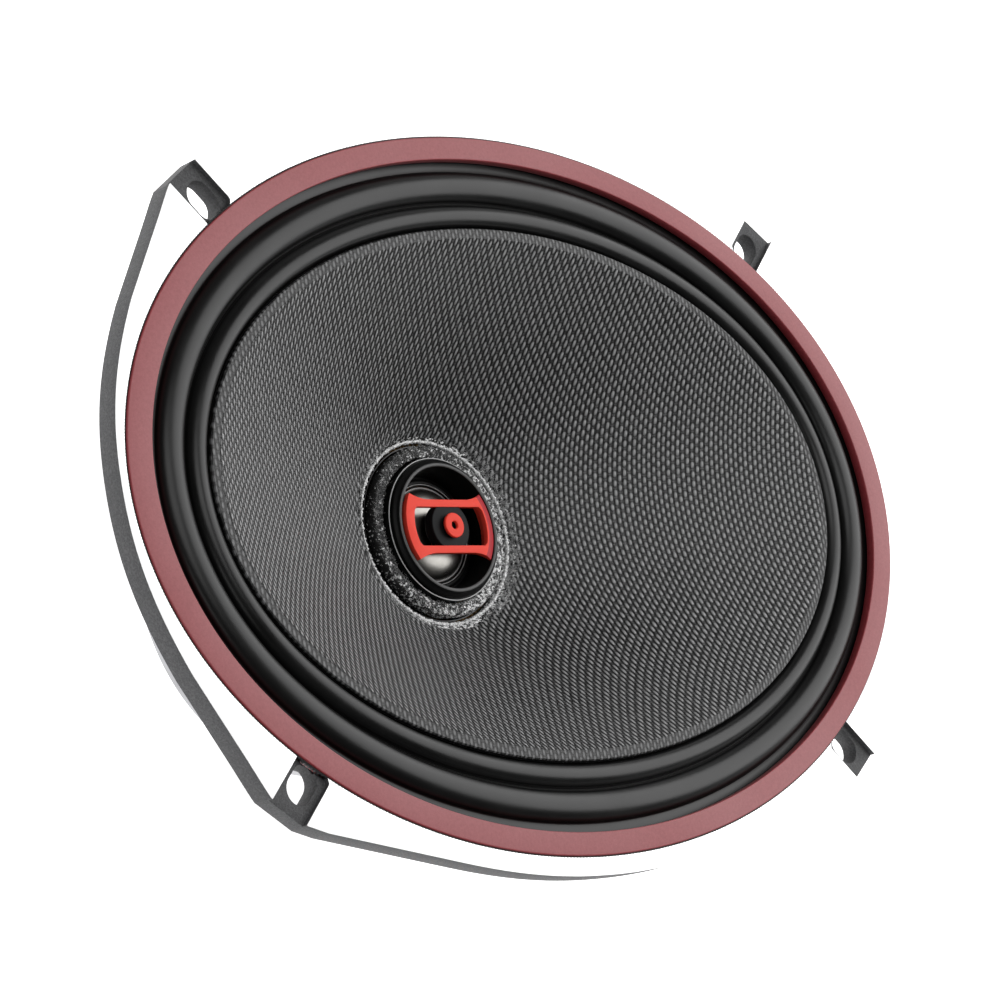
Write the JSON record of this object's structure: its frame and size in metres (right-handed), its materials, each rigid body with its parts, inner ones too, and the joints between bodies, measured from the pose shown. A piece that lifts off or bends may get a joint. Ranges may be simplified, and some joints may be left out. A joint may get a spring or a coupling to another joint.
{
  "type": "coaxial car speaker",
  "caption": "Oval two-way coaxial car speaker: woven cone in a roll surround, with a small dome tweeter on a post in its middle.",
  "frame": {"origin": "middle of the rear face of the magnet system, where the voice coil's axis meets the surface that the speaker stands on", "axes": "+Z out of the cone along the voice coil's axis, X along the long way of the oval, Y along the short way; the terminals are at -Y"},
  "size_m": [0.228, 0.1626, 0.086],
  "materials": {
    "basket_coat": "textured black powder coat, with a bright machined flange face",
    "ring_red": "satin anodised red",
    "surround_rubber": "satin moulded butyl rubber",
    "glass_weave": "dark woven glass fibre in resin",
    "neck_adhesive": "glossy clear-grey adhesive",
    "seal_felt": "dark felt flecked with grey",
    "former_film": "amber film",
    "copper_wire": "enamelled copper",
    "spider_cloth": "resin-stiffened cloth",
    "plated_steel": "zinc plated, turned",
    "black_steel": "black oxide",
    "ferrite": "ground ceramic magnet",
    "housing_black": "moulded black plastic",
    "dome_film": "thin silvered film",
    "guard_red": "moulded red-orange plastic",
    "board_laminate": "laminate board",
    "terminal_tin": "tinned",
    "brass_rivet": "turned",
    "capacitor_film": "coated film capacitor",
    "tinsel_braid": "braided tinsel wire",
    "lead_red": "insulated wire",
    "lead_black": "insulated wire"
  },
  "bodies": {
    "frame": {"basket": "basket_coat", "trim_ring": "ring_red", "surround": "surround_rubber", "spider": "spider_cloth", "top_plate": "plated_steel", "magnet": "ferrite", "back_plate": "plated_steel", "basket_screw_1": "black_steel", "basket_screw_2": "black_steel", "basket_screw_3": "black_steel", "basket_screw_4": "black_steel", "tweeter_post": "plated_steel", "post_spacer": "black_steel", "post_washer": "plated_steel", "post_nut": "plated_steel", "tweeter_housing": "housing_black", "tweeter_yoke": "plated_steel", "tweeter_magnet": "plated_steel", "tweeter_top_plate": "plated_steel", "tweeter_suspension": "housing_black", "tweeter_bezel": "housing_black", "tweeter_guard": "guard_red", "phase_plug": "housing_black", "phase_plug_cap": "guard_red", "terminal_board": "board_laminate", "terminal_positive": "terminal_tin", "terminal_negative": "terminal_tin", "rivet_positive": "brass_rivet", "rivet_negative": "brass_rivet", "crossover_capacitor": "capacitor_film", "tinsel_lead_positive": "tinsel_braid", "tinsel_lead_negative": "tinsel_braid", "tweeter_lead_positive": "lead_red", "tweeter_lead_negative": "lead_black"},
    "woofer": {"cone": "glass_weave", "neck_bead": "neck_adhesive", "dust_seal": "seal_felt", "voice_coil_former": "former_film", "voice_coil_winding": "copper_wire"},
    "tweeter_diaphragm": {"tweeter_dome": "dome_film", "tweeter_coil": "copper_wire"}
  },
  "joints": [
    {"name": "cone_excursion", "type": "slide", "parent": "frame", "child": "woofer", "axis": [0, 0, 1], "range_m": [-0.005, 0.005], "stiffness_N_per_m": 4800, "deforming": ["surround", "spider", "tinsel_lead_positive", "tinsel_lead_negative"]},
    {"name": "tweeter_excursion", "type": "slide", "parent": "frame", "child": "tweeter_diaphragm", "axis": [0, 0, 1], "range_m": [-0.0003, 0.0003], "stiffness_N_per_m": 8000, "deforming": ["tweeter_suspension"]}
  ]
}
